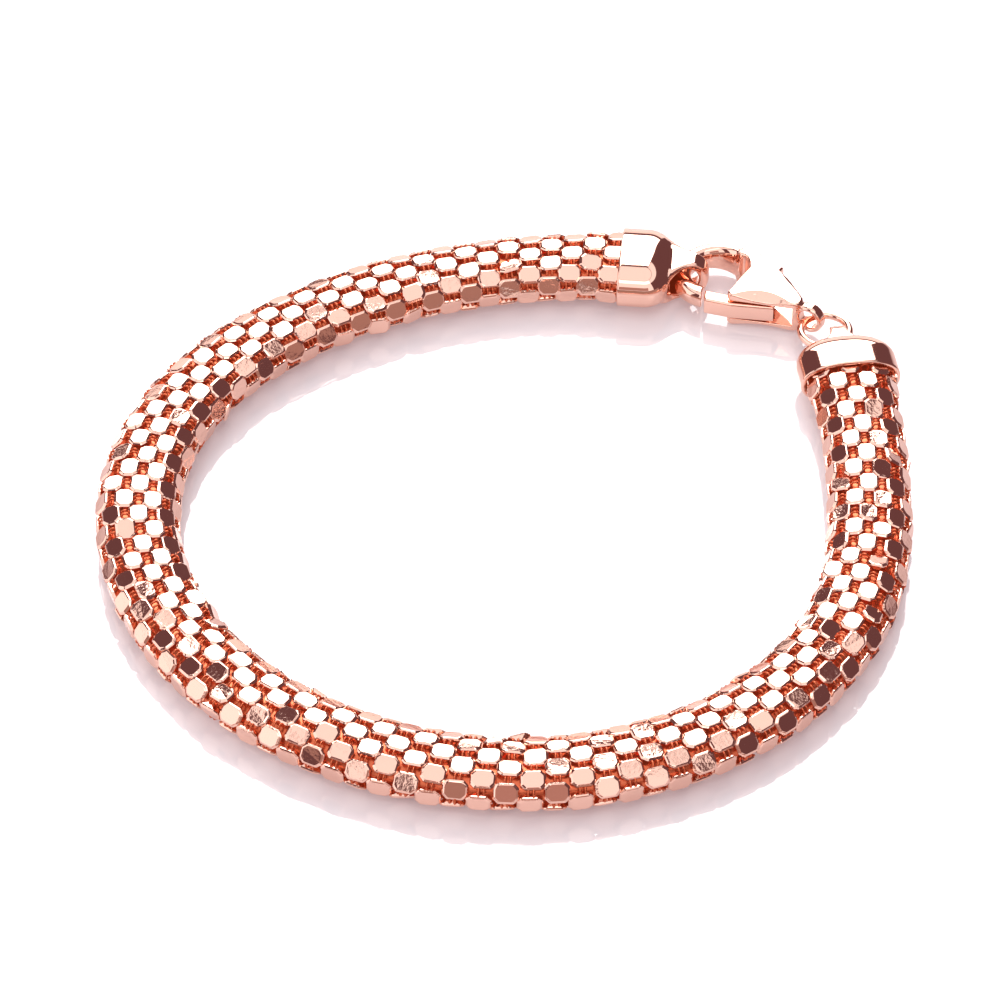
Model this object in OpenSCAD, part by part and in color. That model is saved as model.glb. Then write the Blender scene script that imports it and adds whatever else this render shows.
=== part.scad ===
// Tubular mesh bracelet with two end caps, a jump ring and a trigger clasp, lying closed on a flat surface.
// The origin is on that surface, under the middle of the bracelet. Z is up and +Y points to the clasp side.

/* [Mesh tube] */
// Width of the oval mesh tube, across the bracelet
tube_w = 6.8; // [6.6:0.1:7.0]
// Height of the oval mesh tube, above the surface it lies on
tube_h = 3.84; // [3.7:0.02:4.0]
// Thickness of the mesh wall, a plate with the ring behind it
tube_wall = 0.8; // [0.6:0.1:0.9]
// Fullness of the oval: 2 is an ellipse, more is boxier
oval_power = 2.3; // [2:0.1:2.6]

/* [End caps] */
// Width of a cap
cap_w = 8.4; // [8.3:0.1:8.6]
// Height of a cap
cap_h = 4.4; // [4.3:0.1:4.5]
// Length of the cap's band, from its rim to the end of its shoulder
cap_l = 4.2; // [4.1:0.1:4.3]
// Straight length of the band before the shoulder rounds over
cap_straight = 2.2; // [2:0.1:2.4]
// How much the shoulder narrows the cap at each side
cap_shoulder = 1.2; // [1:0.1:1.4]
// How much the shoulder lowers the cap's top
cap_drop = 0.65; // [0.5:0.05:0.7]
// Width of the socket that takes the end of the tube
socket_w = 7.7; // [7.6:0.05:7.75]
// Height of the socket that takes the end of the tube
socket_h = 3.8; // [3.7:0.05:3.85]
// Depth of that socket
socket_depth = 2.8; // [2.7:0.1:2.9]

/* [Eye for the hook] */
// Distance from the cap's rim to the far end of its eye
hook_eye_end = 7.65; // [7.6:0.05:7.7]
// Outer radius of the eye, seen from the side
hook_eye_r = 1.85; // [1.8:0.05:1.9]
// Thickness of the eye, across the bracelet
hook_eye_t = 1.6; // [1.5:0.1:1.7]
// Diameter of the hole that the hook goes through
hook_hole_d = 2.5; // [2.45:0.05:2.5]
// Distance from the cap's rim to the middle of that hole
hook_hole_x = 5.5; // [5.45:0.05:5.55]

/* [Eye for the jump ring] */
// Distance from the cap's rim to the far end of its eye
ring_eye_end = 6.85; // [6.8:0.05:6.9]
// Outer radius of the eye, seen from the side
ring_eye_r = 1.6; // [1.55:0.05:1.65]
// Thickness of the eye, across the bracelet
ring_eye_t = 1.4; // [1.3:0.1:1.5]
// Diameter of the hole that the jump ring goes through
ring_hole_d = 2.0; // [1.95:0.05:2.05]
// Distance from the cap's rim to the middle of that hole
ring_hole_x = 5.25; // [5.2:0.05:5.3]

/* [Jump ring] */
// Diameter of the jump ring, measured to the middle of its wire
ring_d = 4.08; // [4.0:0.02:4.1]
// Diameter of the jump ring's wire
ring_wire = 0.66; // [0.62:0.02:0.7]

/* [Clasp] */
// Thickness of the clasp at its thickest
clasp_t = 3.5; // [3.4:0.05:3.6]
// Radius of the gently domed faces of the clasp
dome_r = 45; // [30:5:60]
// Radius of the hook, to the middle of its wire
hook_r = 2.75; // [2.7:0.05:2.8]
// Width and height of the hook's end
hook_wire = 1.7; // [1.6:0.05:1.75]
// Height of the hook where it leaves the cheeks
hook_root_h = 3.0; // [2.8:0.05:3.1]
// Height of the slot between the two cheeks
slot_h = 1.9; // [1.8:0.05:2]
// Outer radius of the tail eye
tail_r = 1.3; // [1.25:0.05:1.35]
// Radius of the hole in the tail eye
tail_hole_r = 0.85; // [0.8:0.05:0.9]
// Thickness of the tail eye
tail_t = 1.1; // [1.0:0.1:1.2]

/* [Trigger] */
// Thickness of the trigger lever
trigger_t = 1.6; // [1.4:0.05:1.6]
// Diameter of the pin that the trigger turns on
pin_d = 0.9; // [0.8:0.05:0.95]
// Play between the pin and the trigger, on the diameter
pin_play = 0.1; // [0.06:0.02:0.14]
// Gap between the trigger's tip and the end of the hook
tip_gap = 0.2; // [0.15:0.05:0.3]

/* [Hidden] */
$fn = 64;
rose = [0.91, 0.66, 0.55];
deep_rose = [0.80, 0.46, 0.34];

// The middle line of the tube is a chain of arcs that run on smoothly, seen from above
tube_start = [9.82, 29.81];
tube_heading = 174.5;
// radius, sweep
tube_arcs = [
    [40.0, 46.5],
    [27.5, 70],
    [31.5, 66],
    [28.1, 87.5],
    [83.0, 14],
];
tube_sections = 72;
tube_sides = 24;

// The tube's ends are spread a little to fill the caps' sockets
neck_w = socket_w - 0.1;
neck_h = socket_h - 0.1;
neck_z = 2.15;
neck_in_cap = 2.4;
neck_run = 4.5;

// Radii of the shoulder's arcs, seen from above and from the side
shoulder_run = cap_l - cap_straight;
cap_z = cap_h / 2;
cap_sides = 48;
rim_bevel = 0.12;
above_corner_r = (shoulder_run ^ 2 + cap_shoulder ^ 2) / (2 * cap_shoulder);
side_corner_r = (shoulder_run ^ 2 + cap_drop ^ 2) / (2 * cap_drop);

// Both eyes grow out of the cap with a flare and start inside its shoulder
flare_w = 5.8;
flare_oval_w = 6.6;
eye_start = cap_l - 0.6;
hook_eye_z = 1.92;
ring_eye_z = 1.75;
hook_flare_x = 7.0;
ring_flare_x = 6.0;
hook_hole_bevel = 0.15;
ring_hole_bevel = 0.3;

// The jump ring lies flat through the tail eye and the ring cap's eye
ring_at = [26.92, 22.11, 1.64];

// The clasp's own frame has its origin in the middle of the hook, with X running to the tail eye
clasp_at = [17.77, 28.91];
clasp_turn = -33;
clasp_z = clasp_t / 2;
dome_at = [3.6, 0.5];
opening_side = [[0.9, 2.25], [1.54, 2.33], [2.06, 2.06], [2.45, 1.65], [2.8, 1.1], [2.8, -0.7], [2.85, -1.8]];
spine = [[6.5, 1.62], [4.7, 2.38], [3.5, 2.86], [2.5, 3.2], [1.5, 3.4], [0.9, 3.45]];
nose_at = [3.3, -2.3];
nose_r = 0.5;
tail_at = [8.0, -0.2];
tail_end_r = 0.75;
tail_eye_x = 9.48;
pivot = [4.7, -1.2];
tip_reach = 4.25;
tab_reach = 4.8;

// Sloping cuts along the cheeks' edges: the middle of each cut at the edge, its heading, its slope and the
// radius it is ground to
cheek_cuts = [
    [[6.0, -1.78, 2.95], 21.5, 27, 10.5],
    [[7.5, 1.04, 3.22], 150, 21, 20],
];
cut_width = 3;
cut_length = 12;
wheel_sides = 360;

// Angles at which the hook leaves the cheeks, has thinned to its even width, and ends
hook_from = 56;
hook_even = 195;
hook_to = 300;
hook_root_r = 2.88;
hook_root_w = 1.3;
hook_root_power = 2;
hook_sections = 24;
hook_sides = 24;
eps = 0.05;

// Points round an oval of width w and height h
function oval_points(w, h, n = 48, power = oval_power) = [
    for (i = [0 : n - 1])
        let (a = 360 * i / n, c = cos(a), s = sin(a))
            [w / 2 * sign(c) * abs(c) ^ (2 / power), h / 2 * sign(s) * abs(s) ^ (2 / power)]
];

// Points on an arc about c, from angle a0 to angle a1
function arc_points(c, r, a0, a1, n = 8) = [
    for (i = [0 : n]) let (a = a0 + (a1 - a0) * i / n) c + r * [cos(a), sin(a)]
];

// Heading of the tube before arc i, its length, and the place where it begins
function heading(i) = i == 0 ? tube_heading : heading(i - 1) + tube_arcs[i - 1][1];
function arc_length(i) = tube_arcs[i][0] * tube_arcs[i][1] * PI / 180;
function left_of(a) = [-sin(a), cos(a)];
function ahead_of(a) = [cos(a), sin(a)];
function along_arc(i, turn) = arc_start(i) + tube_arcs[i][0] * (left_of(heading(i)) - left_of(heading(i) + turn));
function arc_start(i) = i == 0 ? tube_start : along_arc(i - 1, tube_arcs[i - 1][1]);
function tube_length(i = 0) = i == len(tube_arcs) ? 0 : arc_length(i) + tube_length(i + 1);

// Place and heading of the middle line at distance s from the hook cap's rim, straight on past both ends
function place(s, i = 0) =
    s < 0 ? [tube_start + s * ahead_of(tube_heading), tube_heading]
    : i == len(tube_arcs) ? [arc_start(i) + s * ahead_of(heading(i)), heading(i)]
    : s > arc_length(i) ? place(s - arc_length(i), i + 1)
    : let (turn = s / arc_length(i) * tube_arcs[i][1]) [along_arc(i, turn), heading(i) + turn];

module oval(w, h) { polygon(oval_points(w, h)); }

// Turns a flat outline to face along +X
module along_x(length) { rotate([90, 0, 90]) linear_extrude(length) children(); }

// Distances of the tube's sections from the hook cap's rim, the first and last inside the caps
section_at = concat(
    [-neck_in_cap],
    [for (k = [0 : tube_sections]) k * tube_length() / tube_sections],
    [tube_length() + neck_in_cap]);

// One oval ring of points, square to the middle line; full is 0 in a cap and 1 where the tube has its full height
function section_ring(s, inset) =
    let (
        from_rim = min(s, tube_length() - s),
        full = max(0, min(1, from_rim / neck_run)),
        w = neck_w + (tube_w - neck_w) * full - 2 * inset,
        h = neck_h + (tube_h - neck_h) * full - 2 * inset,
        z = neck_z + (tube_h / 2 - neck_z) * full,
        at = place(s)
    )
        [for (p = oval_points(w, h, tube_sides)) concat(at[0] - p[0] * left_of(at[1]), [z + p[1]])];

// Faces that join ring a to ring b, each a ring of n points
function band(a, b, n) = [
    for (j = [0 : n - 1]) let (k = (j + 1) % n) [a * n + j, a * n + k, b * n + k, b * n + j]
];

module mesh_tube() {
    n = tube_sides;
    m = len(section_at);
    color(rose) polyhedron(
        points = concat(
            [for (s = section_at) each section_ring(s, 0)],
            [for (s = section_at) each section_ring(s, tube_wall)]),
        faces = concat(
            [for (k = [0 : m - 2]) each band(k, k + 1, n)],
            [for (k = [0 : m - 2]) each band(m + k + 1, m + k, n)],
            band(m, 0, n),
            band(m - 1, 2 * m - 1, n)),
        convexity = 6);
}

// Each cap's frame has its origin on the surface under the rim, with X running out along the eye
module at_hook_cap() { translate(tube_start) rotate([0, 0, tube_heading - 180]) children(); }

module at_ring_cap() {
    last = len(tube_arcs);
    translate(arc_start(last)) rotate([0, 0, heading(last)]) children();
}

// Widths and heights of the cap along its length, from a bevelled rim to the end of its rounded shoulder
cap_sections = concat(
    [[0, rim_bevel, rim_bevel], [rim_bevel, 0, 0]],
    [for (i = [0 : 6])
        let (x = shoulder_run * sin(15 * i))
            [cap_straight + x, arc_drop(x, above_corner_r), arc_drop(x, side_corner_r)]]);

function arc_drop(x, r) = r - sqrt(r ^ 2 - x ^ 2);

// Solid with flat ends through rings of n points each
module loft(rings, n) {
    last = len(rings) - 1;
    polyhedron(
        points = [for (ring = rings) each ring],
        faces = concat(
            [for (k = [0 : last - 1]) each band(k, k + 1, n)],
            [[for (j = [n - 1 : -1 : 0]) j], [for (j = [0 : n - 1]) last * n + j]]),
        convexity = 4);
}

module cap_band() {
    loft([for (c = cap_sections)
        [for (p = oval_points(cap_w - 2 * c[1], cap_h - 2 * c[2], cap_sides)) [c[0], -p[0], cap_z + p[1]]]],
        cap_sides);
}

function mirrored(points) = concat(points, [for (i = [len(points) - 1 : -1 : 0]) [points[i][0], -points[i][1]]]);

// Flared root and rounded end of an eye, seen from above
module eye_plan(end, t, flare_x) {
    half = t / 2;
    round_r = 0.45 * t;
    drop = (flare_w - t) / 2;
    run = flare_x - cap_l;
    r = (run ^ 2 + drop ^ 2) / (2 * drop);
    polygon(mirrored(concat(
        [[eye_start, flare_w / 2], [cap_l, flare_w / 2]],
        arc_points([flare_x, half + r], r, 270 - asin(run / r), 270),
        arc_points([end - round_r, half - round_r], round_r, 90, 0, 4))));
}

// Angle at which a line from point p meets the circle about c, above the circle or below it
function meets(p, c, r, side) = atan2(p[1] - c[1], p[0] - c[0]) - side * acos(r / norm(p - c));

// Round eye seen from the side, joined to the end of the shoulder by two straight lines
module eye_side(c, r) {
    top = [eye_start, cap_h - cap_drop];
    bottom = [eye_start, cap_drop];
    a0 = meets(top, c, r, 1);
    a1 = meets(bottom, c, r, -1);
    polygon(concat([bottom, top], arc_points(c, r, a0, a1 > 0 ? a1 - 360 : a1, 24)));
}

// Hole across an eye of thickness t, bevelled where it meets both faces
module eye_hole(d, t, bevel) {
    r = d / 2;
    reach = 2 * t;
    rotate([90, 0, 0]) rotate_extrude() polygon([
        [0, -reach], [r + bevel, -reach], [r + bevel, -t / 2], [r, bevel - t / 2],
        [r, t / 2 - bevel], [r + bevel, t / 2], [r + bevel, reach], [0, reach]]);
}

module cap(end, r, z, t, flare_x, hole_d, hole_x, bevel) {
    difference() {
        union() {
            cap_band();
            intersection() {
                linear_extrude(cap_h) eye_plan(end, t, flare_x);
                translate([0, cap_w, 0]) rotate([90, 0, 0]) linear_extrude(2 * cap_w) eye_side([end - r, z], r);
                translate([0, 0, z]) along_x(end + eps) oval(flare_oval_w, 2 * r + eps);
            }
        }
        translate([-eps, 0, neck_z]) along_x(socket_depth + eps) oval(socket_w, socket_h);
        translate([hole_x, 0, z]) eye_hole(hole_d, t, bevel);
    }
}

module hook_end_cap() {
    color(rose) at_hook_cap()
        cap(hook_eye_end, hook_eye_r, hook_eye_z, hook_eye_t, hook_flare_x, hook_hole_d,
            hook_hole_x, hook_hole_bevel);
}

module ring_end_cap() {
    color(rose) at_ring_cap()
        cap(ring_eye_end, ring_eye_r, ring_eye_z, ring_eye_t, ring_flare_x, ring_hole_d,
            ring_hole_x, ring_hole_bevel);
}

module jump_ring() {
    color(rose) translate(ring_at) rotate_extrude() translate([ring_d / 2, 0]) circle(d = ring_wire);
}

module at_clasp() { translate(clasp_at) rotate([0, 0, clasp_turn]) children(); }

// Outline of both cheeks, from the hook round the opening and the nose to the tail, and back along the spine
module cheek_outline() {
    polygon(concat(
        opening_side,
        arc_points(nose_at, nose_r, 200, 295, 5),
        arc_points(tail_at, tail_end_r, -65, 60, 8),
        spine));
}

// Room between the cheeks for the trigger, open at the nose, the trigger side and the thumb tab
module slot_outline() {
    polygon([[2.2, -5], [8.2, -5], [8.2, 0.2], [7.6, 0.5], [7.2, 5],
             [3.55, 5], [3.55, -0.2], [3.3, -0.5], [2.2, -0.6]]);
}

module domes() {
    intersection() {
        translate([dome_at[0], dome_at[1], clasp_t - dome_r]) sphere(dome_r, $fn = 128);
        translate([dome_at[0], dome_at[1], dome_r]) sphere(dome_r, $fn = 128);
    }
}

// The hook is as tall and nearly as square as the cheeks at its root, and thins to a round end
module hook() {
    loft([for (k = [0 : hook_sections])
        let (
            a = hook_from + (hook_to - hook_from) * k / hook_sections,
            thin = min(1, (a - hook_from) / (hook_even - hook_from)),
            w = hook_root_w + (hook_wire - hook_root_w) * thin,
            h = hook_root_h + (hook_wire - hook_root_h) * thin,
            r = hook_root_r + (hook_r - hook_root_r) * thin,
            power = hook_root_power + (oval_power - hook_root_power) * thin
        )
            [for (p = oval_points(w, h, hook_sides, power)) concat((r + p[0]) * [cos(a), sin(a)], [clasp_z + p[1]])]],
        hook_sides);
}

// The cuts on the top cheek and, mirrored, on the bottom one, each ground out by a large wheel
module bevels() {
    for (flip = [0, 1], c = cheek_cuts)
        translate([0, 0, flip * clasp_t]) mirror([0, 0, flip])
            translate(c[0]) rotate([0, 0, c[1]]) rotate([c[2], 0, 0])
                translate([0, 0, c[3]]) rotate([90, 0, 0]) intersection() {
                    cylinder(h = cut_width, r = c[3], center = true, $fn = wheel_sides);
                    translate([0, -c[3], 0]) cube([cut_length, cut_width, 2 * cut_width], center = true);
                }
}

module clasp_body() {
    color(rose) at_clasp() difference() {
        union() {
            intersection() {
                linear_extrude(clasp_t) cheek_outline();
                domes();
            }
            hook();
            translate([tail_eye_x, 0, clasp_z]) rotate([90, 0, 0])
                cylinder(h = tail_t, r = tail_r, center = true);
        }
        translate([0, 0, (clasp_t - slot_h) / 2]) linear_extrude(slot_h) slot_outline();
        translate(concat(pivot, [-eps])) cylinder(h = clasp_t + 2 * eps, d = pin_d);
        hook_end_clearance();
        bevels();
        translate([tail_eye_x, 0, clasp_z]) rotate([90, 0, 0])
            cylinder(h = 2 * tail_t, r = tail_hole_r, center = true);
    }
}

// The hook ends where the trigger's tip swings past it
module hook_end_clearance() {
    translate([0, 0, -eps]) linear_extrude(clasp_t + 2 * eps) intersection() {
        translate(pivot) circle(tip_reach + tip_gap);
        translate([-1, -5]) square([3.75, 4.4]);
    }
}

// The lever runs from its tip in the gate to its heel between the cheeks, with the thumb tab on the spine side
module trigger_outline() {
    hub_r = 1.15;
    polygon(concat(
        arc_points(pivot, tip_reach, 216, 198, 6),
        [[2.77, -1.9]],
        arc_points(pivot, hub_r, 180, 140, 3),
        [pivot + [-0.82, 3.2], pivot + [-0.6, tab_reach], pivot + [0.0, tab_reach], pivot + [0.2, 3.2]],
        arc_points(pivot, hub_r, 65, 20, 4),
        [[6.8, -1.25], [6.75, -1.5], [3.5, -3.05]]));
}

module clasp_trigger() {
    color(deep_rose) at_clasp() difference() {
        translate([0, 0, clasp_z - trigger_t / 2]) linear_extrude(trigger_t) trigger_outline();
        translate(concat(pivot, [0])) cylinder(h = clasp_t, d = pin_d + pin_play);
    }
}

module trigger_pin() {
    pin_inset = 0.2;
    color(deep_rose) at_clasp()
        translate(concat(pivot, [pin_inset])) cylinder(h = clasp_t - 2 * pin_inset, d = pin_d);
}

mesh_tube();
hook_end_cap();
ring_end_cap();
jump_ring();
clasp_body();
clasp_trigger();
trigger_pin();
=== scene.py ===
import math
import random

import bpy
import numpy as np
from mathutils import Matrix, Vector


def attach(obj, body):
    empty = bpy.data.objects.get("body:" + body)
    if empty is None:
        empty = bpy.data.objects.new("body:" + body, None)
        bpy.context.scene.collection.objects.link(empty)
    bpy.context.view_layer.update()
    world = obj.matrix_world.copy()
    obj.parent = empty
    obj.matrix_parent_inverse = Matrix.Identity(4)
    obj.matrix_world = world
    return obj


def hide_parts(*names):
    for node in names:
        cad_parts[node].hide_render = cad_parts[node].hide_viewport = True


# Lengths are in millimetres and angles in degrees, unless a line says otherwise
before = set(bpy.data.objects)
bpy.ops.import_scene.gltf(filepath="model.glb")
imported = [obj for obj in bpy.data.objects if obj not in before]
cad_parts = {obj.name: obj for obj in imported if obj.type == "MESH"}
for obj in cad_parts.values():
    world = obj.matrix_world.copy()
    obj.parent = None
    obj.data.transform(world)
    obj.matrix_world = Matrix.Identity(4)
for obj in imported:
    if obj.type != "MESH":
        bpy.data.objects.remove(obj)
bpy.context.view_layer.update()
mm = 0.001

# Materials

paintedBounceGlowColor = "D0603A"  # painted light: a faint glow in this colour on every rose-gold finish stands for light that goes on bouncing between polished faces
rippleDepth = 0.1  # of every finish, before its own strength


# sRGB hex code to linear colour
def linear(code):
    parts = [int(code[i:i + 2], 16) / 255 for i in (0, 2, 4)]
    return [v / 12.92 if v <= 0.04045 else ((v + 0.055) / 1.055) ** 2.4 for v in parts] + [1.0]


# Adds a node: each setting is an input, by its name or number, or else an option of the node
def addNode(tree, kind, settings, links=()):
    node = tree.nodes.new(kind)
    for name, value in settings.items():
        if isinstance(name, int) or name in node.inputs:
            node.inputs[name].default_value = value
        else:
            setattr(node, name, value)
    for socket, source in links:
        tree.links.new(source, node.inputs[socket])
    return node


def newMaterial(name, settings):
    mat = bpy.data.materials.new(name)
    mat.use_nodes = True
    shader = mat.node_tree.nodes["Principled BSDF"]
    for socket, value in settings.items():
        shader.inputs[socket].default_value = value
    return mat, shader


# Metal whose surface wavers in ripples of a given size and strength, with a faint painted glow of bounce
# light
def polishedMetal(name, look):
    mat, shader = newMaterial(name, {
        "Base Color": linear(look["color"]), "Metallic": 1.0, "Roughness": look["roughness"],
        "Emission Color": linear(paintedBounceGlowColor), "Emission Strength": look["glow"],
    })
    tree = mat.node_tree
    where = addNode(tree, "ShaderNodeTexCoord", {}).outputs["Object"]
    ripple = addNode(tree, "ShaderNodeTexNoise",
                     {"Scale": 1000 / look["rippleMm"], "Detail": look["detail"]}, [("Vector", where)])
    bump = addNode(tree, "ShaderNodeBump", {"Strength": look["ripple"], "Distance": rippleDepth * mm},
                   [("Height", ripple.outputs["Fac"])])
    tree.links.new(bump.outputs["Normal"], shader.inputs["Normal"])
    return mat


# Cast rose gold, polished to a mirror: sharp reflections that waver a little, as hand polishing leaves them.
# Its glow is painted bounce light.
capLook = {
    "color": "F3C7B5", "roughness": 0.05, "rippleMm": 1.6, "ripple": 0.03, "detail": 2.0, "glow": 0.04,
}
# Rose-gold sheet, stamped to plates and polished flat: each is a small mirror of its own, uneven at the edge.
# Its glow is painted bounce light.
plateLook = {
    "color": "F3C7B5", "roughness": 0.08, "rippleMm": 0.3, "ripple": 0.12, "detail": 3.0, "glow": 0.03,
}
# Drawn rose-gold wire, deep in the weave: redder and duller, as its light has bounced off the plates round
# it. The redder, darker colour is painted shade, and its stronger glow is painted bounce light.
linkPaintedShadeLook = {
    "color": "CA6848", "roughness": 0.27, "rippleMm": 0.5, "ripple": 0.15, "detail": 2.0, "glow": 0.09,
}
roseGold = polishedMetal("polishedRoseGold", capLook)
plateGold = polishedMetal("polishedRoseGoldPlates", plateLook)
linkPaintedShadeGold = polishedMetal("roseGoldLinksPaintedShade", linkPaintedShadeLook)
print("materials done")

# Middle line of the tube: arcs that run on smoothly, as in the CAD

tube = {
    "start": (9.82, 29.81), "heading": 174.5,  # at the hook cap's rim, seen from above
    "arcs": [(40.0, 46.5), (27.5, 70), (31.5, 66), (28.1, 87.5), (83.0, 14)],  # radius and sweep
    "width": 6.8, "height": 3.84, "power": 2.3,  # an oval, a little boxier than an ellipse
    "neckWidth": 7.6, "neckHeight": 3.7, "neckZ": 2.15, "neckRun": 4.5,  # its ends, spread to fill the caps
}
slopeStep = 0.002  # share of the way round that is looked at on each side, for the surface's slope


def ahead(a):
    return np.array([math.cos(math.radians(a)), math.sin(math.radians(a))])


def leftOf(a):
    return np.array([-math.sin(math.radians(a)), math.cos(math.radians(a))])


# Start, heading, radius and length of each arc, and the place and heading at the far end
def arcTable():
    at, heading, rows = np.array(tube["start"]), tube["heading"], []
    for radius, sweep in tube["arcs"]:
        rows.append((at, heading, radius, radius * math.radians(sweep)))
        at = at + radius * (leftOf(heading) - leftOf(heading + sweep))
        heading += sweep
    return rows, at, heading


arcRows, tubeEnd, endHeading = arcTable()
tubeLength = sum(row[3] for row in arcRows)


# Place and heading at distance s along the tube, straight on past both ends
def placeAt(s):
    if s < 0:
        return np.array(tube["start"]) + s * ahead(tube["heading"]), tube["heading"]
    for at, heading, radius, length in arcRows:
        if s <= length:
            turn = math.degrees(s / radius)
            return at + radius * (leftOf(heading) - leftOf(heading + turn)), heading + turn
        s -= length
    return tubeEnd + s * ahead(endHeading), endHeading


# Points round the oval, with the distance run to each
def ovalTable(steps=720):
    a = np.arange(steps + 1) * 2 * math.pi / steps
    c, s = np.cos(a), np.sin(a)
    x = tube["width"] / 2 * np.sign(c) * np.abs(c) ** (2 / tube["power"])
    y = tube["height"] / 2 * np.sign(s) * np.abs(s) ** (2 / tube["power"])
    run = np.concatenate([[0], np.cumsum(np.hypot(np.diff(x), np.diff(y)))])
    return x, y, run


ovalX, ovalY, ovalRun = ovalTable()


def ovalAt(t):
    want = (t % 1.0) * ovalRun[-1]
    return np.array([np.interp(want, ovalRun, ovalX), np.interp(want, ovalRun, ovalY)])


# Point of the tube's surface at distance s along it and share t of the way round, sunk by depth, with the
# directions along the tube and out of it
def tubePoint(s, t, depth):
    (x, y), heading = placeAt(s)
    fromRim = min(s, tubeLength - s)
    full = max(0.0, min(1.0, fromRim / tube["neckRun"]))
    p = ovalAt(t)
    q = ovalAt(t + slopeStep) - ovalAt(t - slopeStep)
    out = np.array([q[1], -q[0]]) / np.hypot(*q)
    wide = tube["neckWidth"] + (tube["width"] - tube["neckWidth"]) * full
    high = tube["neckHeight"] + (tube["height"] - tube["neckHeight"]) * full
    z = tube["neckZ"] + (tube["height"] / 2 - tube["neckZ"]) * full
    p = p * np.array([wide / tube["width"], high / tube["height"]]) - out * depth
    side = leftOf(heading)
    point = np.array([x - p[0] * side[0], y - p[0] * side[1], z + p[1]])
    normal = np.array([-out[0] * side[0], -out[0] * side[1], out[1]])
    forward = np.append(ahead(heading), 0.0)
    return point, forward, normal


# Mesh helpers

def makePiece(name, points, faces, material, body, smooth=True):
    mesh = bpy.data.meshes.new(name)
    mesh.from_pydata([tuple(p) for p in np.asarray(points) * mm], [], faces)
    mesh.update()
    for face in mesh.polygons:
        face.use_smooth = smooth
    piece = bpy.data.objects.new(name, mesh)
    bpy.context.scene.collection.objects.link(piece)
    mesh.materials.append(material)
    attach(piece, body)
    return piece


# Copies one small shape to many places, each given by an origin and three axes
def scatter(shape, places):
    points, faces = shape
    points = np.array(points)
    allPoints, allFaces = [], []
    for origin, axes in places:
        base = len(allPoints) * len(points)
        allPoints.append(origin + points @ axes)
        allFaces.extend([tuple(base + i for i in face) for face in faces])
    return np.concatenate(allPoints), allFaces


# Pushes up what would lie below the table
def onTable(shape, places):
    points, lifted = np.array(shape[0]), []
    for origin, axes in places:
        lowest = (origin + points @ axes)[:, 2].min()
        lifted.append((origin + np.array([0, 0, max(0.0, -lowest)]), axes))
    return lifted


# Faces between two rings of n points, which start at numbers a and b
def ringFaces(a, b, n):
    return [(a + j, a + (j + 1) % n, b + (j + 1) % n, b + j) for j in range(n)]


def stackedShape(layers):
    n = len(layers[0])
    points = [p for layer in layers for p in layer]
    faces = [f for k in range(len(layers) - 1) for f in ringFaces(k * n, k * n + n, n)]
    faces.append(tuple(range(n - 1, -1, -1)))
    faces.append(tuple(range(n * (len(layers) - 1), n * len(layers))))
    return points, faces


# Round wire bent to a ring, lying flat unless other axes are given
def wireRing(ringRadius, wireRadius, around, sides, axes=(0, 1, 2)):
    points, faces = [], []
    for i in range(around):
        a = 2 * math.pi * i / around
        for j in range(sides):
            b = 2 * math.pi * j / sides
            r = ringRadius + wireRadius * math.cos(b)
            p = (r * math.cos(a), r * math.sin(a), wireRadius * math.sin(b))
            points.append([p[axis] for axis in axes])
    for i in range(around):
        for j in range(sides):
            k, m = (i + 1) % around, (j + 1) % sides
            faces.append((i * sides + j, k * sides + j, k * sides + m, i * sides + m))
    return points, faces


# Plates of the weave

weave = {
    "perTurn": 7.5, "pitch": 1.8, "phase": -0.01,  # plates in a turn of the spiral, its advance and its start
    "inCap": 1.7,  # how far the weave runs on into the caps
    "sunk": 0.05, "tilt": 2.5,  # facets lie a little under the tube's surface, and each tips at random
    "loose": 0.22, "looseTilt": 8.0,  # and this share of them tips more
    "seed": 7,
}
plate = {
    "length": 2.05, "width": 1.64, "cut": 0.4,
    "cornerSoft": 0.16,  # rounding of the eight corners, as a share of the cut
    "bend": 4,  # the ends drop with this power of the distance from the middle
    # From the back to the facet: what comes off length, width and cut, the height, and the drop of the ends.
    # The sides are straight, and two narrow bright bevels run round the facet.
    "layers": [
        (0.7, 0.25, 0.0, -0.62, 0.0),
        (0.25, 0.06, 0.0, -0.34, 0.0),
        (0.0, 0.0, 0.0, -0.24, 0.0),
        (0.0, 0.0, 0.0, -0.12, 0.05),
        (0.18, 0.18, 0.04, -0.04, 0.04),
        (0.42, 0.34, 0.08, 0.0, 0.012),
    ],
}


# Octagon whose corners are rounded off a little
def plateOutline(length, width, cut, height, drop):
    a, b, c = length / 2, width / 2, cut
    soft = plate["cornerSoft"] * c
    corners = [(a, b - c), (a - c, b), (-a + c, b), (-a, b - c),
               (-a, -b + c), (-a + c, -b), (a - c, -b), (a, -b + c)]
    points = []
    for i, p in enumerate(corners):
        for other in (corners[i - 1], corners[(i + 1) % len(corners)]):
            d = math.hypot(other[0] - p[0], other[1] - p[1])
            x, y = p[0] + (other[0] - p[0]) * soft / d, p[1] + (other[1] - p[1]) * soft / d
            points.append([x, y, height - drop * (x / a) ** plate["bend"]])
    return points


def plateShape():
    length, width, cut = plate["length"], plate["width"], plate["cut"]
    return stackedShape([plateOutline(length - shorter, width - narrower, cut - smaller, height, drop)
                         for shorter, narrower, smaller, height, drop in plate["layers"]])


turnLength = tubeLength / round(tubeLength / weave["pitch"])
rng = random.Random(weave["seed"])


# Axes of a plate or hoop: along the tube, across it and out of it, tipped at random
def turned(forward, normal, spread):
    side = np.cross(normal, forward)
    tip, roll = [math.radians(rng.gauss(0, spread)) for _ in range(2)]
    normal = normal + math.tan(tip) * forward + math.tan(roll) * side
    normal /= np.linalg.norm(normal)
    side = np.cross(normal, forward)
    side /= np.linalg.norm(side)
    return np.array([np.cross(side, normal), side, normal])


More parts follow.
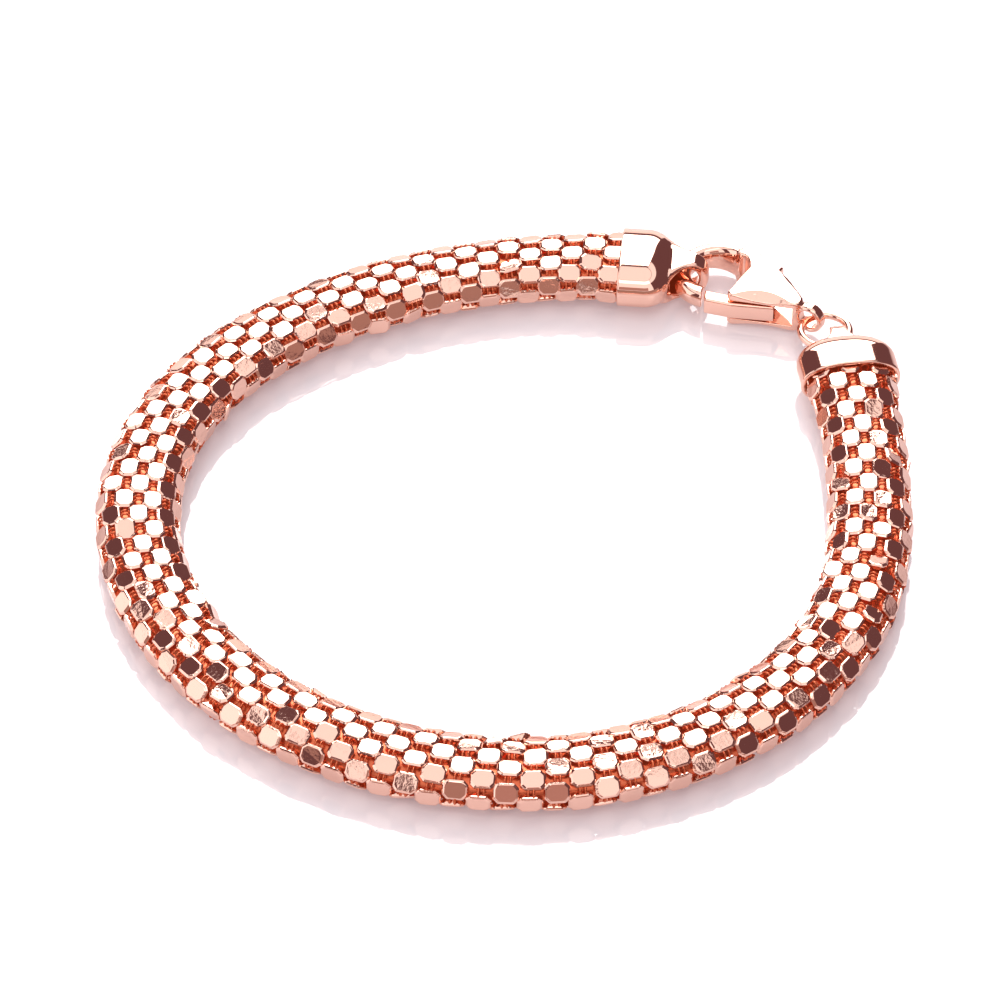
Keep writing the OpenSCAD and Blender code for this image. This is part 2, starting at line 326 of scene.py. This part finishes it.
# Places along a spiral, so that each plate sits between two of the turn before. Offset 0 is at a plate, and
# 0.5 is at the gap to the next one.
def weavePlaces(offset, depth, spread):
    first = math.ceil(-weave["inCap"] / turnLength * weave["perTurn"])
    last = math.floor((tubeLength + weave["inCap"]) / turnLength * weave["perTurn"])
    places = []
    for n in range(first, last + 1):
        turn = (n + offset) / weave["perTurn"]
        point, forward, normal = tubePoint(turn * turnLength, turn + weave["phase"], depth)
        loose = rng.random() < weave["loose"]
        places.append((point, turned(forward, normal, weave["looseTilt"] if loose else spread)))
    return places


onePlate = plateShape()
platePlaces = onTable(onePlate, weavePlaces(0, weave["sunk"], weave["tilt"]))
platePoints, plateFaces = scatter(onePlate, platePlaces)
plates = makePiece("meshPlates", platePoints, plateFaces, plateGold, "bracelet", smooth=False)
print("plates", len(platePlaces))

# Pairs of small wire rings that stand in the gaps and link the plates, in the links' finish with its painted
# shade and painted glow
links = {
    "radius": 0.34, "wire": 0.1, "around": 10, "sides": 5,  # wire is its radius
    "gap": 0.5, "apart": 0.42, "depth": 0.38, "tilt": 4.0,  # gap is where they sit between two plates
}
oneHoop = wireRing(links["radius"], links["wire"], links["around"], links["sides"], (2, 0, 1))
hoopPlaces = []
for point, axes in weavePlaces(links["gap"], links["depth"], links["tilt"]):
    hoopPlaces += [(point + way * links["apart"] / 2 * axes[0], axes) for way in (-1, 1)]
hoopPoints, hoopFaces = scatter(oneHoop, onTable(oneHoop, hoopPlaces))
hoops = makePiece("meshLinks", hoopPoints, hoopFaces, linkPaintedShadeGold, "bracelet")
print("links", len(hoopPlaces))

# Thin tube behind the plates, which stands for the far inside of the weave, in the links' finish with its
# painted shade and painted glow
innerWall = {"depths": (0.56, 0.68), "inCap": 2.0, "around": 48, "stations": 180}


def wallTube():
    around, stations = innerWall["around"], innerWall["stations"]
    points, faces = [], []
    for depth in innerWall["depths"]:
        for i in range(stations + 1):
            s = -innerWall["inCap"] + (tubeLength + 2 * innerWall["inCap"]) * i / stations
            for j in range(around):
                points.append(tubePoint(s, j / around, depth)[0])
    shift = (stations + 1) * around
    for i in range(stations):
        a, b = i * around, (i + 1) * around
        faces += ringFaces(a, b, around)
        faces += [tuple(reversed(f)) for f in ringFaces(shift + a, shift + b, around)]
    last = stations * around
    faces += [tuple(reversed(f)) for f in ringFaces(0, shift, around)]
    faces += ringFaces(last, shift + last, around)
    return makePiece("meshLining", points, faces, linkPaintedShadeGold, "bracelet")


lining = wallTube()
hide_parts("mesh_tube")
print("weave done")


# Cast pieces, as distances that are negative inside. Their edges are rounded as polishing leaves them: soft
# says how far the rounding of an edge reaches.

def smoothMax(a, b, soft):
    near = np.maximum(soft - np.abs(a - b), 0) / soft
    return np.maximum(a, b) + near * near * soft / 4


def smoothMin(a, b, soft):
    return -smoothMax(-a, -b, soft)


def polygonDistance(corners, x, y):
    corners = np.array(corners)
    nearest, inside = np.full(x.shape, np.inf), np.zeros(x.shape, bool)
    for (ax, ay), (bx, by) in zip(corners, np.roll(corners, -1, axis=0)):
        ex, ey = bx - ax, by - ay
        share = np.clip(((x - ax) * ex + (y - ay) * ey) / (ex * ex + ey * ey), 0, 1)
        nearest = np.minimum(nearest, np.hypot(x - ax - share * ex, y - ay - share * ey))
        crosses = (ay > y) != (by > y)
        inside ^= crosses & (x < ax + (y - ay) * ex / (ey if ey else 1))
    return np.where(inside, -nearest, nearest)


tiny = 1e-4  # keeps the oval's middle from dividing by nothing


def ovalDistance(y, z, width, height, power=tube["power"]):
    u, v = np.abs(y) / (width / 2), np.abs(z) / (height / 2)
    size = np.maximum((u ** power + v ** power) ** (1 / power), tiny)
    slope = np.hypot(u ** (power - 1) / (width / 2), v ** (power - 1) / (height / 2)) * size ** (1 - power)
    return (size - 1) / np.maximum(slope, tiny)


surfacing = {
    "cell": 0.1, "fineCell": 0.08,  # spacing of the points of a cast piece
    "reach": 0.004,  # how far to each side a slope is measured
    "rounds": 4, "leastSlope": 0.1,  # rounds that bring each point on to the surface
}


def slopeOf(distance, points):
    reach = surfacing["reach"]
    steps = np.eye(3) * reach
    return np.stack([(distance(points + s) - distance(points - s)) / (2 * reach) for s in steps], -1)


# Closed mesh where the distance is zero: a point in each cell that the surface crosses, and a face over each
# crossed edge between the four cells round it
def surfaceOf(distance, low, high, cell):
    axes = [np.arange(a - 2 * cell, b + 2 * cell, cell) for a, b in zip(low, high)]
    grid = np.stack(np.meshgrid(*axes, indexing="ij"), -1)
    inside = (distance(grid.reshape(-1, 3)) < 0).reshape(grid.shape[:3])
    ends = (slice(None, -1), slice(1, None))
    filled = sum(inside[i, j, k].astype(int) for i in ends for j in ends for k in ends)
    crossed = (filled > 0) & (filled < 8)  # of a cell's eight corners
    number = np.full(crossed.shape, -1)
    number[crossed] = np.arange(crossed.sum())
    points = grid[:-1, :-1, :-1][crossed] + cell / 2
    for _ in range(surfacing["rounds"]):
        slope = slopeOf(distance, points)
        move = -distance(points) / np.maximum((slope ** 2).sum(-1), surfacing["leastSlope"])
        points = points + np.clip(move, -cell, cell)[:, None] * slope
    faces = []
    for axis in range(3):
        order = (axis, (axis + 1) % 3, (axis + 2) % 3)
        side, cells = inside.transpose(order), number.transpose(order)
        first, second = side[:-1, 1:-1, 1:-1], side[1:, 1:-1, 1:-1]
        i, j, k = np.nonzero(first != second)
        quad = np.stack([cells[i, j, k], cells[i, j + 1, k], cells[i, j + 1, k + 1], cells[i, j, k + 1]], -1)
        outward = first[i, j, k]
        faces.append(np.where(outward[:, None], quad, quad[:, ::-1]))
    normals = slopeOf(distance, points)
    normals /= np.linalg.norm(normals, axis=1, keepdims=True)
    return points, np.concatenate(faces), normals


# Makes a cast piece in polished rose gold in place of a node. Its distance is in its own frame, whose origin
# stands on the table at a place and heading.
def castPiece(name, distance, low, high, at, heading, body, node, cell=surfacing["cell"]):
    points, faces, normals = surfaceOf(distance, low, high, cell)
    side = np.array([np.append(ahead(heading), 0), np.append(leftOf(heading), 0), [0, 0, 1]])
    piece = makePiece(name, points @ side + np.append(at, 0), faces.tolist(), roseGold, body)
    piece.data.normals_split_custom_set_from_vertices((normals @ side).tolist())
    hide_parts(node)


def arcPoints(centre, radius, a0, a1, steps):
    angles = np.radians(a0 + (a1 - a0) * np.arange(steps + 1) / steps)
    return [(centre[0] + radius * math.cos(a), centre[1] + radius * math.sin(a)) for a in angles]


# End caps, each with its eye. X runs out along the eye from the rim.

cap = {
    "width": 8.4, "height": 4.4, "length": 4.2, "straight": 2.2,
    "shoulder": 1.2, "drop": 0.65,  # how much the shoulder narrows and lowers the cap
    "socketWidth": 7.7, "socketHeight": 3.8, "socketDepth": 2.8,
    "flareWidth": 5.8, "flareOval": 6.6, "ovalSpare": 0.05,  # root of the eye
    "eyeInside": 0.6,  # how far inside the cap the eye starts
    "eyeEnd": 0.45,  # rounding of the eye's end, as a share of its thickness
    "rimSoft": 0.2, "eyeSoft": 0.3, "rootSoft": 0.35, "socketSoft": 0.12,
}
hookEye = {
    "end": 7.65, "radius": 1.85, "thick": 1.6, "flareX": 7.0, "z": 1.92,
    "hole": 2.5, "holeX": 5.5, "bevel": 0.15,
}
ringEye = {
    "end": 6.85, "radius": 1.6, "thick": 1.4, "flareX": 6.0, "z": 1.75,
    "hole": 2.0, "holeX": 5.25, "bevel": 0.3,
}
eyeStart = cap["length"] - cap["eyeInside"]


def arcDrop(run, across, down):
    radius = (across ** 2 + down ** 2) / (2 * down)
    return radius - np.sqrt(radius ** 2 - run ** 2)


# Flared root and rounded end of an eye, seen from above
def eyePlan(eye):
    half = eye["thick"] / 2
    rounding = cap["eyeEnd"] * eye["thick"]
    down, run = cap["flareWidth"] / 2 - half, eye["flareX"] - cap["length"]
    radius = (run ** 2 + down ** 2) / (2 * down)
    first = 270 - math.degrees(math.asin(run / radius))
    side = [(eyeStart, cap["flareWidth"] / 2)]
    side += arcPoints((eye["flareX"], half + radius), radius, first, 270, steps=12)
    side += arcPoints((eye["end"] - rounding, half - rounding), rounding, 90, 0, steps=5)
    return side + [(x, -y) for x, y in reversed(side)]


# Round eye seen from the side, joined to the shoulder by two straight lines
def eyeSide(eye):
    radius = eye["radius"]
    cx, cz = eye["end"] - radius, eye["z"]
    top, bottom = cap["height"] - cap["drop"], cap["drop"]
    angles = []
    for z, way in ((top, 1), (bottom, -1)):
        away = math.hypot(eyeStart - cx, z - cz)
        angles.append(math.degrees(math.atan2(z - cz, eyeStart - cx) - way * math.acos(radius / away)))
    last = angles[1] - 360 if angles[1] > 0 else angles[1]
    return [(eyeStart, bottom), (eyeStart, top)] + arcPoints((cx, cz), radius, angles[0], last, steps=36)


def capDistance(eye):
    plan, profile = eyePlan(eye), eyeSide(eye)
    shoulder = cap["length"] - cap["straight"]
    flareHeight = 2 * eye["radius"] + cap["ovalSpare"]

    def distance(p):
        x, y, z = p.T
        into = np.clip(x - cap["straight"], 0, shoulder)
        wide = cap["width"] - 2 * arcDrop(into, shoulder, cap["shoulder"])
        high = cap["height"] - 2 * arcDrop(into, shoulder, cap["drop"])
        band = ovalDistance(y, z - cap["height"] / 2, wide, high)
        band = smoothMax(band, -x, cap["rimSoft"])
        band = smoothMax(band, x - cap["length"], cap["eyeSoft"])
        neck = smoothMax(polygonDistance(plan, x, y), polygonDistance(profile, x, z), cap["eyeSoft"])
        neck = smoothMax(neck, ovalDistance(y, z - eye["z"], cap["flareOval"], flareHeight), cap["eyeSoft"])
        solid = smoothMin(band, neck, cap["rootSoft"])
        socket = ovalDistance(y, z - tube["neckZ"], cap["socketWidth"], cap["socketHeight"])
        solid = smoothMax(solid, -np.maximum(socket, x - cap["socketDepth"]), cap["socketSoft"])
        hole = eye["hole"] / 2 - np.hypot(x - eye["holeX"], z - eye["z"])
        return smoothMax(solid, hole, 2 * eye["bevel"])

    return distance


for name, node, eye, at, heading in (
        ("hookCap", "hook_end_cap", hookEye, tube["start"], tube["heading"] - 180),
        ("ringCap", "ring_end_cap", ringEye, tubeEnd, endHeading)):
    low = (0, -cap["width"] / 2, 0)
    high = (eye["end"], cap["width"] / 2, cap["height"])
    castPiece(name, capDistance(eye), low, high, at, heading, "bracelet", node)
print("caps done")

# Clasp: two cheeks with a slot between them, a hook and a tail eye. Its origin is in the middle of the hook,
# and X runs to the tail eye.

clasp = {
    "at": (17.77, 28.91), "turn": -33, "thick": 3.5,
    "low": (-3.7, -3.7), "high": (10.8, 3.8),  # box that holds it, seen from above
    "domeRadius": 45, "domeAt": (3.6, 0.5), "slot": 1.9,
    "nose": ((3.3, -2.3), 0.5), "tail": ((8.0, -0.2), 0.75),  # middle and radius of the outline's round ends
    "tailX": 9.48, "tailRadius": 1.3, "tailHole": 0.85, "tailThick": 1.1,
    "pivot": (4.7, -1.2), "pin": 0.9,
    "swingCorner": (2.75, -0.6),  # the hook's end is cleared for the trigger's tip up to here
    # Sloping cuts: the middle of each at the cheeks' edge, its heading, its slope and the wheel's radius
    "cuts": [((6.0, -1.78, 2.95), 21.5, 27, 10.5), ((7.5, 1.04, 3.22), 150, 21, 20)], "cutWidth": 3,
    "cheekSoft": 0.25, "hookSoft": 0.3, "cutSoft": 0.08, "tailSoft": 0.4, "tailRootSoft": 0.35,
    "slotSoft": 0.12, "tailHoleSoft": 0.3, "swingSoft": 0.15,
}
# Angles where the hook leaves the cheeks, is thinned to its even width, and ends
hook = {
    "from": 56, "even": 195, "to": 300, "mouth": 28,  # angles past this part of the mouth belong to the root
    "rootRadius": 2.88, "rootWidth": 1.3, "rootHeight": 3.0, "rootPower": 2.0,
    "radius": 2.75, "wire": 1.7, "endSoft": 0.2,
}
cheekOutline = (
    [(0.9, 2.25), (1.54, 2.33), (2.06, 2.06), (2.45, 1.65), (2.8, 1.1), (2.8, -0.7), (2.85, -1.8)]
    + arcPoints(*clasp["nose"], 200, 295, steps=5) + arcPoints(*clasp["tail"], -65, 60, steps=8)
    + [(6.5, 1.62), (4.7, 2.38), (3.5, 2.86), (2.5, 3.2), (1.5, 3.4), (0.9, 3.45)]
)
slotOutline = [
    (2.2, -5), (8.2, -5), (8.2, 0.2), (7.6, 0.5), (7.2, 5),
    (3.55, 5), (3.55, -0.2), (3.3, -0.5), (2.2, -0.6),
]
# Lever between the cheeks, from its tip in the hook's mouth to its heel, with the thumb tab on the spine side
trigger = {
    "thick": 1.6, "tipReach": 4.25, "tipGap": 0.2, "pinPlay": 0.1, "hub": 1.15,
    "low": (0.3, -4), "high": (7, 3.8),
    "tipCorner": (2.77, -1.9), "heel": [(6.8, -1.25), (6.75, -1.5), (3.5, -3.05)],
    "tab": [(-0.82, 3.2), (-0.6, 4.8), (0, 4.8), (0.2, 3.2)],  # from the pivot
    "edgeSoft": 0.3, "boreSoft": 0.05,
}


def hookDistance(x, y, level):
    angle = np.degrees(np.arctan2(y, x)) % 360
    angle = np.where(angle > hook["to"] + hook["mouth"], angle - 360, angle)
    thin = np.clip((angle - hook["from"]) / (hook["even"] - hook["from"]), 0, 1)
    radius = hook["rootRadius"] + (hook["radius"] - hook["rootRadius"]) * thin
    wide = hook["rootWidth"] + (hook["wire"] - hook["rootWidth"]) * thin
    high = hook["rootHeight"] + (hook["wire"] - hook["rootHeight"]) * thin
    power = hook["rootPower"] + (tube["power"] - hook["rootPower"]) * thin
    away = np.hypot(x, y)
    ends = np.radians(np.maximum(hook["from"] - angle, angle - hook["to"])) * away
    return smoothMax(ovalDistance(away - radius, level, wide, high, power), ends, hook["endSoft"])


# What the grinding wheel takes off both cheeks in one sloping cut
def cutDistance(x, y, level, cut):
    (cutX, cutY, cutZ), heading, slope, radius = cut
    turn, tip = math.radians(heading), math.radians(slope)
    along = (x - cutX) * math.cos(turn) + (y - cutY) * math.sin(turn)
    inwards = (y - cutY) * math.cos(turn) - (x - cutX) * math.sin(turn)
    up = np.abs(level) + clasp["thick"] / 2 - cutZ
    rise = up * math.cos(tip) - inwards * math.sin(tip)
    across = np.abs(up * math.sin(tip) + inwards * math.cos(tip))
    return np.maximum(np.hypot(along, rise - radius) - radius, across - clasp["cutWidth"] / 2)


def claspDistance(p):
    x, y, z = p.T
    level = z - clasp["thick"] / 2
    domeX, domeY = clasp["domeAt"]
    sunk = np.abs(level) + clasp["domeRadius"] - clasp["thick"] / 2
    dome = np.sqrt((x - domeX) ** 2 + (y - domeY) ** 2 + sunk ** 2) - clasp["domeRadius"]
    solid = smoothMax(polygonDistance(cheekOutline, x, y), dome, clasp["cheekSoft"])
    solid = smoothMin(solid, hookDistance(x, y, level), clasp["hookSoft"])
    for cut in clasp["cuts"]:
        solid = smoothMax(solid, -cutDistance(x, y, level, cut), clasp["cutSoft"])
    fromTail = np.hypot(x - clasp["tailX"], level)
    tail = smoothMax(fromTail - clasp["tailRadius"], np.abs(y) - clasp["tailThick"] / 2, clasp["tailSoft"])
    solid = smoothMin(solid, tail, clasp["tailRootSoft"])
    slot = np.maximum(polygonDistance(slotOutline, x, y), np.abs(level) - clasp["slot"] / 2)
    solid = smoothMax(solid, -slot, clasp["slotSoft"])
    solid = smoothMax(solid, clasp["tailHole"] - fromTail, clasp["tailHoleSoft"])
    fromPivot = np.hypot(x - clasp["pivot"][0], y - clasp["pivot"][1])
    cornerX, cornerY = clasp["swingCorner"]
    swing = fromPivot - trigger["tipReach"] - trigger["tipGap"]
    swing = np.maximum(swing, np.maximum(x - cornerX, y - cornerY))
    return smoothMax(solid, -swing, clasp["swingSoft"])


castPiece("claspBody", claspDistance, (*clasp["low"], 0), (*clasp["high"], clasp["thick"]),
          clasp["at"], clasp["turn"], "bracelet", "clasp_body")
print("clasp body done")


def triggerOutline():
    x, y = clasp["pivot"]
    tip = arcPoints((x, y), trigger["tipReach"], 216, 198, steps=6)
    hubBack = arcPoints((x, y), trigger["hub"], 180, 140, steps=3)
    tab = [(x + dx, y + dy) for dx, dy in trigger["tab"]]
    hubFront = arcPoints((x, y), trigger["hub"], 65, 20, steps=4)
    return tip + [trigger["tipCorner"]] + hubBack + tab + hubFront + trigger["heel"]


def triggerDistance(p):
    x, y, z = p.T
    level = np.abs(z - clasp["thick"] / 2)
    outline = polygonDistance(triggerOutline(), x, y)
    solid = smoothMax(outline, level - trigger["thick"] / 2, trigger["edgeSoft"])
    bore = (clasp["pin"] + trigger["pinPlay"]) / 2 - np.hypot(x - clasp["pivot"][0], y - clasp["pivot"][1])
    return smoothMax(solid, bore, trigger["boreSoft"])


middle, half = clasp["thick"] / 2, trigger["thick"] / 2
low, high = (*trigger["low"], middle - half), (*trigger["high"], middle + half)
castPiece("claspTrigger", triggerDistance, low, high, clasp["at"], clasp["turn"],
          "trigger", "clasp_trigger", surfacing["fineCell"])
print("trigger done")

# Jump ring, a plain round wire
jumpRing = {"at": (26.92, 22.11, 1.64), "diameter": 4.08, "wire": 0.66, "around": 96, "sides": 20}
ringPoints, ringParts = wireRing(jumpRing["diameter"] / 2, jumpRing["wire"] / 2,
                                 jumpRing["around"], jumpRing["sides"])
ringPiece = makePiece("jumpRing", np.array(ringPoints) + jumpRing["at"], ringParts, roseGold, "bracelet")
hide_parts("jump_ring")
print("jump ring done")

# The pin shows as its own solid, so every solid of the CAD gets the cast pieces' finish
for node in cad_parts.values():
    node.data.materials.clear()
    node.data.materials.append(roseGold)

# Glossy white table, lacquered and buffed: it mirrors the gold softly and stays white, as under even light.
# Its IOR is above lacquer's 1.5, for mirror images as strong as the photo's.
table = {
    "color": "D8D6D9", "glowColor": "FFEDF4", "glow": 0.22, "roughness": 0.015, "ior": 1.8,
    "half": 600, "z": -0.02,
}


def tableTop():
    half, z = table["half"], table["z"]
    points = [[-half, -half, z], [half, -half, z], [half, half, z], [-half, half, z]]
    mesh = bpy.data.meshes.new("floor")
    mesh.from_pydata([tuple(np.array(p) * mm) for p in points], [], [(0, 1, 2, 3)])
    floor = bpy.data.objects.new("floor", mesh)
    bpy.context.scene.collection.objects.link(floor)
    mat, _ = newMaterial("glossyWhiteTable", {
        "Base Color": linear(table["color"]), "Roughness": table["roughness"], "IOR": table["ior"],
        "Emission Color": linear(table["glowColor"]), "Emission Strength": table["glow"],
    })
    mesh.materials.append(mat)


tableTop()
print("table done")

# Studio round the bracelet, as the polished metal mirrors it: softboxes between dark gaps.
# Azimuth is 0 behind the bracelet and 90 on its right. A box with negative light is a dark card.
studio = {
    "gap": (0.135, 0.07, 0.08), "soft": 1.0,
    "boxes": [
        {"azimuth": -3, "half": 25, "low": 18, "high": 66, "light": (5.0, 5.0, 5.0)},
        {"azimuth": -3, "half": 25, "low": -5, "high": 11, "light": (1.15, 1.08, 1.05)},
        {"azimuth": -92, "half": 27, "low": 0, "high": 50, "light": (1.35, 1.35, 1.35)},
        {"azimuth": 180, "half": 40, "low": 18, "high": 69, "light": (1.15, 1.15, 1.15)},
        {"azimuth": 180, "half": 18, "low": 20, "high": 37, "light": (-0.78, -0.92, -0.96)},
        {"azimuth": 180, "half": 60, "low": -5, "high": 16, "light": (0.3, 0.2, 0.16)},
        {"azimuth": 180, "half": 155, "low": 56, "high": 69, "light": (1.15, 1.15, 1.15)},
        {"azimuth": 0, "half": 180, "low": 70, "high": 91, "light": (1.15, 1.15, 1.15)},
    ],
}


def studioWorld():
    world = bpy.data.worlds.new("studio")
    bpy.context.scene.world = world
    world.use_nodes = True
    tree = world.node_tree
    ray = addNode(tree, "ShaderNodeTexCoord", {}).outputs["Generated"]
    parts = addNode(tree, "ShaderNodeSeparateXYZ", {}, [("Vector", ray)]).outputs
    level = addNode(tree, "ShaderNodeCombineXYZ", {}, [("X", parts["X"]), ("Y", parts["Y"])])
    flat = addNode(tree, "ShaderNodeVectorMath", {"operation": "NORMALIZE"}, [(0, level.outputs[0])])
    height = addNode(tree, "ShaderNodeMath", {"operation": "ARCSINE"}, [(0, parts["Z"])])
    total = None
    for box in studio["boxes"]:
        turn = math.radians(box["azimuth"])
        towards = (math.sin(turn), math.cos(turn), 0)
        along = addNode(tree, "ShaderNodeVectorMath", {"operation": "DOT_PRODUCT", 1: towards},
                        [(0, flat.outputs[0])])
        away = addNode(tree, "ShaderNodeMath", {"operation": "ARCCOSINE"}, [(0, along.outputs["Value"])])
        edges = ((away, box["half"], -1), (height, box["low"], 1), (height, box["high"], -1))
        inside = None
        for source, edge, sign in edges:
            near = math.radians(edge - studio["soft"] * sign)
            far = math.radians(edge + studio["soft"] * sign)
            side = addNode(tree, "ShaderNodeMapRange",
                           {"interpolation_type": "SMOOTHSTEP", "From Min": near, "From Max": far},
                           [("Value", source.outputs[0])])
            if inside is None:
                inside = side
            else:
                inside = addNode(tree, "ShaderNodeMath", {"operation": "MULTIPLY"},
                                 [(0, inside.outputs[0]), (1, side.outputs[0])])
        lit = addNode(tree, "ShaderNodeVectorMath", {"operation": "SCALE", 0: box["light"]},
                      [("Scale", inside.outputs[0])])
        if total is None:
            total = lit
        else:
            total = addNode(tree, "ShaderNodeVectorMath", {"operation": "ADD"},
                            [(0, total.outputs[0]), (1, lit.outputs[0])])
    withGap = addNode(tree, "ShaderNodeVectorMath", {"operation": "ADD", 1: studio["gap"]},
                      [(0, total.outputs[0])])
    tree.links.new(withGap.outputs[0], tree.nodes["Background"].inputs["Color"])


studioWorld()
print("studio done")

# Camera, in front of the bracelet with a long lens
view = {
    "target": (-0.36, 2.91, 0.0), "distance": 500.0, "elevation": 42.5,
    "lens": 220.1, "sensor": 36, "nearest": 10,
}
tilt = math.radians(view["elevation"])
camera = bpy.data.objects.new("camera", bpy.data.cameras.new("camera"))
bpy.context.scene.collection.objects.link(camera)
camera.data.lens = view["lens"]
camera.data.sensor_width = view["sensor"]
camera.data.clip_start = view["nearest"] * mm
back = Vector((0, -math.cos(tilt), math.sin(tilt)))
camera.location = (Vector(view["target"]) + view["distance"] * back) * mm
camera.rotation_euler = (math.radians(90) - tilt, 0, 0)
bpy.context.scene.camera = camera
bpy.context.scene.view_settings.view_transform = "Standard"
print("camera done")
